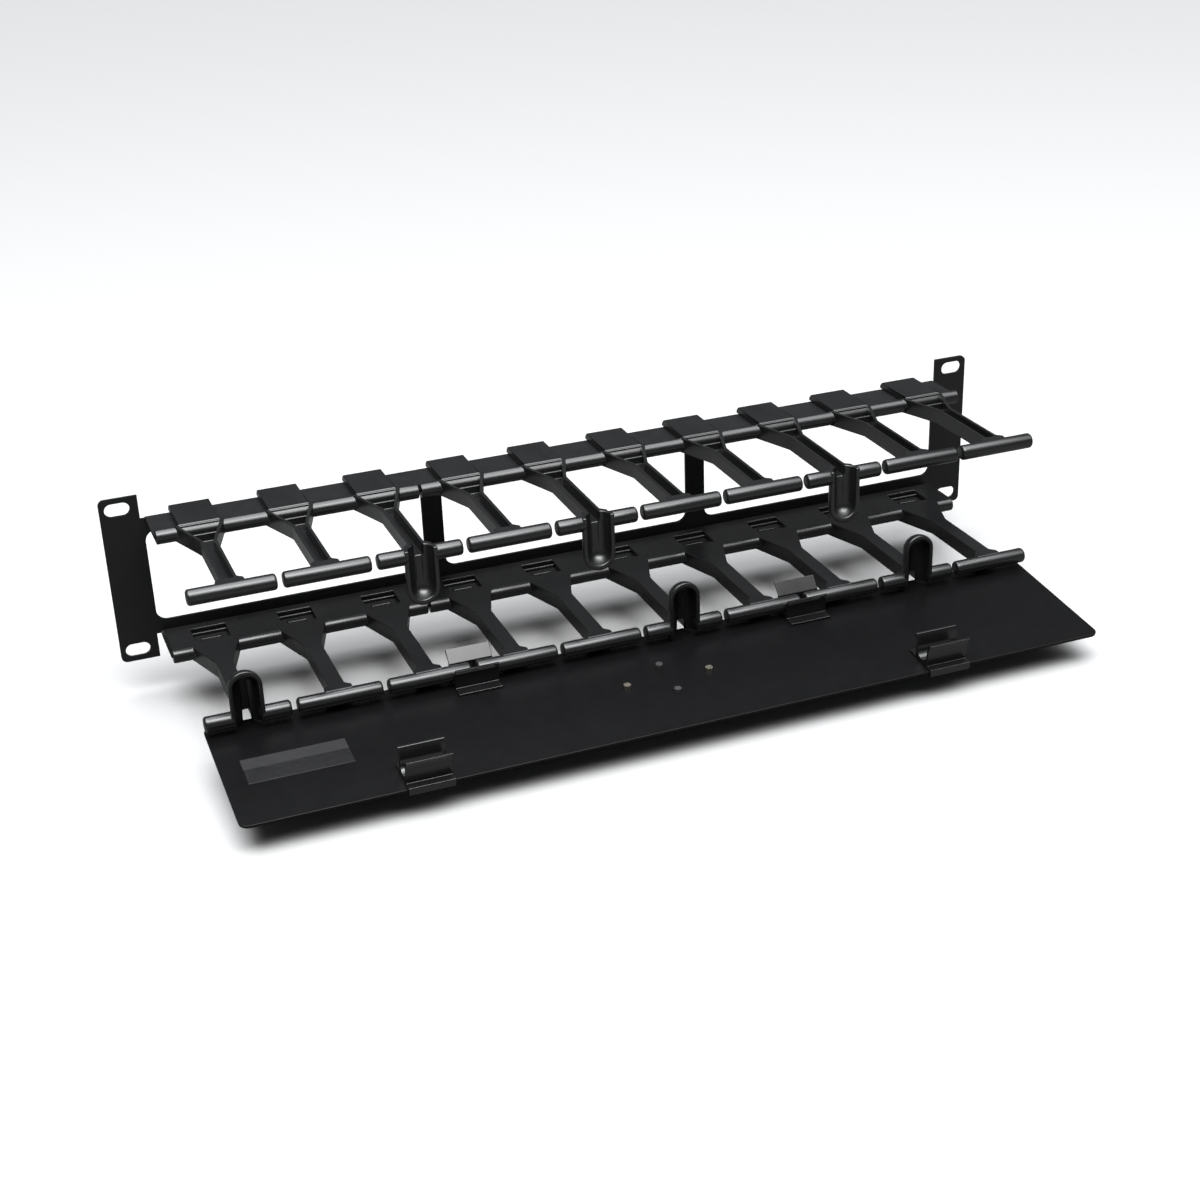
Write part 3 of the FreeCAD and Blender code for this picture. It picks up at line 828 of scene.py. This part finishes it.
@dataclass
class FingerStrips:
    """The four moulded finger strips with their T-bars and scoops."""

    pitch: float = 44.0 * MM
    arm_half: float = 4.0 * MM
    web_half: float = 10.0 * MM
    web_drawn_to: float = 6.7 * MM
    gusset_run: float = 4.5 * MM
    gusset_kept: float = 0.6
    bar_radius: float = 3.75 * MM
    bar_corner: float = 3.83 * MM
    bar_length: float = 41.0 * MM
    bar_skin: float = 0.05 * MM
    end_round: float = 1.4 * MM
    scoop_bar_from: float = 6.0 * MM
    bar_draw: float = 0.06
    near: float = 0.08 * MM
    scoop_shave: float = 0.25 * MM
    outer_from: float = 0.82
    outer_kept: float = 0.95
    inner_from: float = 0.85
    inner_kept: float = 1.055
    front_draw: float = 0.5 * MM
    edges: EdgeBreak = EdgeBreak(0.42 * MM)
    bar_y: float = field(init=False)
    bar_height: float = field(init=False)
    scoop: Scoop = field(default_factory=Scoop)
    bars: BarTree = field(default_factory=BarTree)
    strips: tuple[Strip, ...] = (
        Strip("upper_strip_short", 3, (2,)), Strip("upper_strip_long", 7, (1, 4)),
        Strip("lower_strip_short", 3, (0,)), Strip("lower_strip_long", 7, (2, 5)))
    plastic: MouldedPlastic = MouldedPlastic(
        "finger_plastic", colour=(0.0042, 0.0043, 0.0046), lighter=(0.0060, 0.0062, 0.0066),
        gloss=(0.25, 0.33), grain=0.015, grain_pattern=Pattern(2200.0), flow=0.20, coat=0.0,
        shine=0.72)

    def __post_init__(self) -> None:
        """Reads the bars' line from the hinge."""
        hinge = frame["joints"][0]["pos_m"]
        self.bar_y, self.bar_height = hinge[1], abs(hinge[2])

    def reshape(self, strip: Strip) -> Callable[[bmesh.types.BMesh], None]:
        """What is done to a strip's merged copy before its edges are rounded.

        The webs behind the bars are drawn in to a small gusset, and the bars and scoops
        are drawn a hair inside the round ones that cover them.

        Args:
            strip: The strip.

        Returns:
            A function of the copy.
        """
        centres, side = strip.centres(self.pitch), strip.side()
        behind = self.bar_y + self.bar_radius

        def work(shell: bmesh.types.BMesh) -> None:
            """Moves the points.

            Args:
                shell: The merged copy.
            """
            for vert in shell.verts:
                finger = min(range(len(centres)), key=lambda i: abs(centres[i] - vert.co.x))
                dx, height = vert.co.x - centres[finger], vert.co.z * side
                if finger in strip.scoops and self.in_scoop(dx, vert.co.y):
                    dx, y, height = self.drawn_in(dx, vert.co.y, height)
                    vert.co = (centres[finger] + dx, y, height * side)
                    continue
                y = vert.co.y
                if y < behind + self.near and abs(abs(dx) - self.web_half) < self.near:
                    dx = math.copysign(self.web_drawn_to, dx)
                if (abs(abs(dx) - self.arm_half) < self.near
                        and abs(y - behind - self.gusset_run) < self.near):
                    y = behind + self.gusset_run * self.gusset_kept
                away = math.hypot(y - self.bar_y, height - self.bar_height)
                if self.bar_radius - self.near < away < self.bar_corner + self.near:
                    keep = 1 - self.bar_draw * min(1.0, abs(dx) / self.arm_half)
                    y = self.bar_y + (y - self.bar_y) * keep
                    height = self.bar_height + (height - self.bar_height) * keep
                vert.co = (centres[finger] + dx, y, height * side)

        return work

    def in_scoop(self, dx: float, y: float) -> bool:
        """Whether a point of a scoop finger, dx beside its middle, belongs to the scoop."""
        back = y - self.scoop.middle(self.bar_y)
        return math.hypot(dx, max(0.0, back)) < self.scoop.outer and back < self.scoop.outer

    def drawn_in(self, dx: float, y: float, height: float) -> tuple[float, float, float]:
        """Draws a point of a packed scoop into its wall.

        Args:
            dx: Its place beside the finger's middle.
            y: Its place from front to back.
            height: Its height, counted from the middle plane towards the row.

        Returns:
            The same three numbers, moved.
        """
        middle, ball = self.scoop.middle(self.bar_y), self.scoop.ball(self.bar_height)
        back, down = max(0.0, y - middle), min(0.0, height - ball)
        away = math.sqrt(dx * dx + back * back + down * down)
        outer, inner = self.scoop.outer - self.scoop.skin, self.scoop.inner + self.scoop_shave
        keep = 1.0
        if away > self.outer_from * outer:
            keep = self.outer_kept
        elif self.inner_from * inner < away < inner + self.near:
            keep = self.inner_kept
        if height < ball:
            height = ball + (height - ball) * keep
        if y > middle:
            y = middle + (y - middle) * keep
        elif y < middle - self.front_draw:
            y += self.front_draw
        return dx * keep, y, height

    def bar_spots(self) -> tuple[list[Vector], list[Vector]]:
        """Where the round bars go.

        Returns:
            The middles of the whole bars, and of the half bars beside the scoops.
        """
        whole, halves = [], []
        shift = (self.bar_length / 2 + self.scoop_bar_from) / 2
        for strip in self.strips:
            height = self.bar_height * strip.side()
            for i, x in enumerate(strip.centres(self.pitch)):
                if i in strip.scoops:
                    halves += [Vector((x + s * shift, self.bar_y, height)) for s in (-1, 1)]
                else:
                    whole.append(Vector((x, self.bar_y, height)))
        return whole, halves

    def scoops_mesh(self) -> bpy.types.Mesh:
        """All scoops as one mesh with a softly rounded rim.

        Returns:
            The mesh.
        """
        middle = self.scoop.middle(self.bar_y)
        pattern = bpy.data.meshes.new("scoop_pattern")
        shell = self.scoop.shell(self.bar_height, self.bar_radius)
        shell.to_mesh(pattern)
        shell.free()
        every = bmesh.new()
        for strip in self.strips:
            for i in strip.scoops:
                x, side = strip.centres(self.pitch)[i], strip.side()
                turned = pattern.copy()
                turned.transform(Matrix.Translation((x, middle, 0.0))
                                 @ Matrix.Rotation(0.0 if side > 0 else math.pi, 4, "Y"))
                every.from_mesh(turned)
        mesh = bpy.data.meshes.new("scoops")
        every.to_mesh(mesh)
        every.free()
        piece = linked("scoops", mesh)
        bevel(piece, "rim", self.scoop.rim_from, self.scoop.rim_round, self.scoop.rim_steps)
        soft = evaluated(piece, "scoops")
        soft.shade_smooth()
        return soft

    def build(self) -> None:
        """Rounds and finishes the strips, and sets the bars and scoops on them."""
        material = self.plastic.build()
        for strip in self.strips:
            mesh = self.edges.soften(strip.node, self.reshape(strip))
            piece = place(strip.node + "_moulding", mesh, material, Body.MANAGER)
            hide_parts(strip.node)
            LOG.info("%s: %d faces", piece.name, len(mesh.polygons))
        tree = self.bars.build(material)
        whole, halves = self.bar_spots()
        radius = self.bar_corner + self.bar_skin / 2
        half = self.bar_length / 2 - self.scoop_bar_from + self.bar_skin
        for name, spots, length in (("t_bars", whole, self.bar_length + 2 * self.bar_skin),
                                    ("scoop_bars", halves, half)):
            mesh = self.bars.row(name, tree, spots, {"Length": length, "Radius": radius,
                                                     "End Round": self.end_round})
            place(name, mesh, material, Body.MANAGER)
            LOG.info("%s: %d bars", name, len(spots))
        place("scoop_shells", self.scoops_mesh(), material, Body.MANAGER)
        LOG.info("scoops: %d", sum(len(strip.scoops) for strip in self.strips))


@dataclass
class FrontCover:
    """The open cover with its clips, pins and blank label."""

    edges: EdgeBreak = EdgeBreak(0.35 * MM)
    clip_edges: EdgeBreak = EdgeBreak(0.24 * MM)
    coat: PowderCoat = PowderCoat(
        "cover_powder_coat", colour=(0.0030, 0.0030, 0.0033),
        lighter=(0.0036, 0.0036, 0.0039), gloss=(0.28, 0.33), peel=0.10, shine=0.16)
    clip_plastic: MouldedPlastic = MouldedPlastic(
        "clip_plastic", colour=(0.0040, 0.0040, 0.0044), lighter=(0.0054, 0.0054, 0.0058),
        gloss=(0.19, 0.25), grain=0.02, grain_pattern=Pattern(3000.0), flow=0.12, coat=0.15,
        shine=0.6)
    bright: PinMetal = PinMetal(
        "pin_plated", colour=(0.62, 0.57, 0.47), duller=(0.50, 0.46, 0.38),
        metallic=1.0, gloss=(0.25, 0.38))
    dark: PinMetal = PinMetal(
        "pin_dark", colour=(0.020, 0.020, 0.021), duller=(0.030, 0.030, 0.031),
        metallic=0.0, gloss=(0.35, 0.5))
    film: LabelFilm = LabelFilm(
        "label_film", colour=(0.0070, 0.0070, 0.0076), band=(0.0200, 0.0200, 0.0210))
    clips: tuple[str, ...] = ("hinge_clip_left", "hinge_clip_right",
                              "latch_clip_left", "latch_clip_right")
    tilt: float = math.radians(5.5)
    lip_from: float = 9.0 * MM
    lip_tip: tuple[float, float] = (9.5 * MM, 7.9 * MM)
    lip_back: tuple[float, float] = (10.5 * MM, 6.95 * MM)
    lip_split: float = 7.4 * MM

    def lean_lip(self, shell: bmesh.types.BMesh) -> None:
        """Leans the rear lip of a hinge clip back, as the bar's snap-in ramp.

        Args:
            shell: The merged copy of the clip.
        """
        hinge = Vector(frame["joints"][0]["pos_m"])
        turn = Matrix.Rotation(self.tilt, 3, "X")
        for vert in shell.verts:
            axis = Vector((vert.co.x, hinge.y, hinge.z))
            local = turn.transposed() @ (vert.co - axis)
            if local.z > self.lip_from:
                tip = self.lip_tip if local.y < self.lip_split else self.lip_back
                vert.co = axis + turn @ Vector((0.0, *tip))

    def build(self) -> None:
        """Rounds and finishes the cover and what is on it."""
        mesh = self.edges.soften("cover_panel")
        panel = place("cover_sheet", mesh, self.coat.build(), Body.COVER)
        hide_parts("cover_panel")
        plastic = self.clip_plastic.build()
        for node in self.clips:
            lean = self.lean_lip if node.startswith("hinge") else None
            clip = place(node + "_moulding", self.clip_edges.soften(node, lean), plastic,
                         Body.COVER)
            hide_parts(node)
        bright, dark = self.bright.build(), self.dark.build()
        for node, metal in (("cover_pin_left", bright), ("cover_pin_right", bright),
                            ("cover_pin_rear", dark), ("cover_pin_front", dark)):
            dress(node, metal)
        dress("blank_label", self.film.build(*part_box("blank_label")))
        LOG.info("cover dressed")


@dataclass(frozen=True)
class SoftBox:
    """One soft light: its name, where it hangs, its width and height, and its watts."""

    name: str
    spot: tuple[float, float, float]
    size: tuple[float, float]
    power: float

    def hang(self, aim: tuple[float, float, float]) -> None:
        """Puts it in the scene.

        Args:
            aim: What it points at.
        """
        data = bpy.data.lights.new(self.name, "AREA")
        data.shape = "RECTANGLE"
        data.size, data.size_y = self.size
        data.energy = self.power
        lamp = linked(self.name, data)
        lamp.location = self.spot
        way = Vector(aim) - Vector(self.spot)
        lamp.rotation_euler = way.to_track_quat("-Z", "Y").to_euler()


@dataclass
class Studio:
    """Plain pale floor, soft light and the camera."""

    eye: Vector = field(default_factory=lambda: Vector((-0.3185, -0.8975, 0.4004)))
    yaw: float = 0.3579
    pitch: float = 0.4505
    roll: float = -0.0372
    focal: float = 57.96
    sensor: float = 36.0
    sight: tuple[float, float] = (0.01, 50.0)
    floor_drop: float = 0.5 * MM
    floor_reach: float = 12.0
    floor_seen: float = 0.42
    floor_thrown: float = 0.09
    floor_rough: float = 0.9
    aim: tuple[float, float, float] = (0.0, -0.08, 0.0)
    boxes: tuple[SoftBox, ...] = (SoftBox("key_box", (-0.30, -0.72, 1.45), (2.1, 0.9), 43.0),
                                  SoftBox("fill_box", (1.30, -0.72, 1.45), (1.1, 0.9), 7.0))
    dome_tint: tuple[float, float, float] = (0.96, 0.98, 1.0)
    dome_light: float = 6.0
    wall_light: float = 0.10
    dome_from: float = math.radians(50.0)
    dome_full: float = math.radians(68.0)
    backdrop: float = 0.70

    def camera(self) -> None:
        """Places the camera."""
        data = bpy.data.cameras.new("studio_camera")
        data.sensor_fit = "HORIZONTAL"
        data.sensor_width = self.sensor
        data.lens = self.focal
        data.clip_start, data.clip_end = self.sight
        ahead = Vector((math.sin(self.yaw) * math.cos(self.pitch),
                        math.cos(self.yaw) * math.cos(self.pitch), -math.sin(self.pitch)))
        right = Vector((math.cos(self.yaw), -math.sin(self.yaw), 0.0))
        up = right.cross(ahead)
        across = right * math.cos(self.roll) + up * math.sin(self.roll)
        upward = up * math.cos(self.roll) - right * math.sin(self.roll)
        turn = Matrix((across, upward, -ahead)).transposed().to_4x4()
        camera = linked("studio_camera", data)
        camera.matrix_world = Matrix.Translation(self.eye) @ turn
        bpy.context.scene.camera = camera

    def lowest(self) -> float:
        """The lowest point of the part, at rest or with the cover at its lower limit.

        Returns:
            The height of the point.
        """
        joint = frame["joints"][0]
        hinge = Vector(joint["pos_m"])
        angle = math.radians(joint["range_deg"][0])
        turn = Matrix.Rotation(angle, 3, Vector(joint["axis"]))
        reach = [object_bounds()[0][2]]
        for node in frame["record"]["behaviour"]["bodies"][Body.COVER.value]:
            low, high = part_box(node)
            reach += [(hinge + turn @ (Vector((low.x, y, z)) - hinge)).z
                      for y in (low.y, high.y) for z in (low.z, high.z)]
        return min(reach)

    def floor(self) -> None:
        """Lays the floor under the lowest point of the whole movement.

        It looks pale but throws little light back, so the sides of the black fingers stay black.
        """
        low, reach = self.lowest() - self.floor_drop, self.floor_reach
        mesh = bpy.data.meshes.new("floor")
        corners = [(x * reach, y * reach, low) for x, y in ((-1, -1), (1, -1), (1, 1), (-1, 1))]
        mesh.from_pydata(corners, [], [(0, 1, 2, 3)])
        floor = linked("floor", mesh)
        kit = NodeKit("floor_paper")
        seen = kit.tree.nodes.new("ShaderNodeLightPath").outputs["Is Camera Ray"]
        kit.link(kit.blend(seen, (self.floor_thrown,) * 3, (self.floor_seen,) * 3),
                 kit.shader.inputs["Base Color"])
        kit.shader.inputs["Roughness"].default_value = self.floor_rough
        mesh.materials.append(kit.material)
        floor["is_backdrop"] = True

    def dome(self) -> None:
        """Hangs a wide soft light overhead, with dim walls and a pale backdrop."""
        world = bpy.data.worlds.new("studio_air")
        world.use_nodes = True
        tree = world.node_tree
        tree.nodes.clear()
        way = tree.nodes.new("ShaderNodeTexCoord")
        parts = tree.nodes.new("ShaderNodeSeparateXYZ")
        tree.links.new(way.outputs["Generated"], parts.inputs["Vector"])
        rise = tree.nodes.new("ShaderNodeMapRange")
        rise.interpolation_type = "SMOOTHSTEP"
        for name, value in (("From Min", math.sin(self.dome_from)), ("To Min", self.wall_light),
                            ("From Max", math.sin(self.dome_full)), ("To Max", self.dome_light)):
            rise.inputs[name].default_value = value
        tree.links.new(parts.outputs["Z"], rise.inputs["Value"])
        light = tree.nodes.new("ShaderNodeBackground")
        light.inputs["Color"].default_value = (*self.dome_tint, 1.0)
        tree.links.new(rise.outputs["Result"], light.inputs["Strength"])
        backdrop = tree.nodes.new("ShaderNodeBackground")
        backdrop.inputs["Color"].default_value = (*(self.backdrop,) * 3, 1.0)
        seen = tree.nodes.new("ShaderNodeLightPath")
        mix = tree.nodes.new("ShaderNodeMixShader")
        tree.links.new(seen.outputs["Is Camera Ray"], mix.inputs["Fac"])
        tree.links.new(light.outputs["Background"], mix.inputs[1])
        tree.links.new(backdrop.outputs["Background"], mix.inputs[2])
        out = tree.nodes.new("ShaderNodeOutputWorld")
        tree.links.new(mix.outputs["Shader"], out.inputs["Surface"])
        bpy.context.scene.world = world

    def build(self) -> None:
        """Sets up the whole studio."""
        self.camera()
        self.floor()
        for box in self.boxes:
            box.hang(self.aim)
        self.dome()
        bpy.context.scene.view_settings.view_transform = "Standard"
        LOG.info("studio ready")


def main() -> None:
    """Dresses the cable manager and sets up the studio."""
    logging.basicConfig(level=logging.INFO, format="%(name)s: %(message)s")
    RackBracket().build()
    FingerStrips().build()
    FrontCover().build()
    Studio().build()


if __name__ == "__main__":
    main()
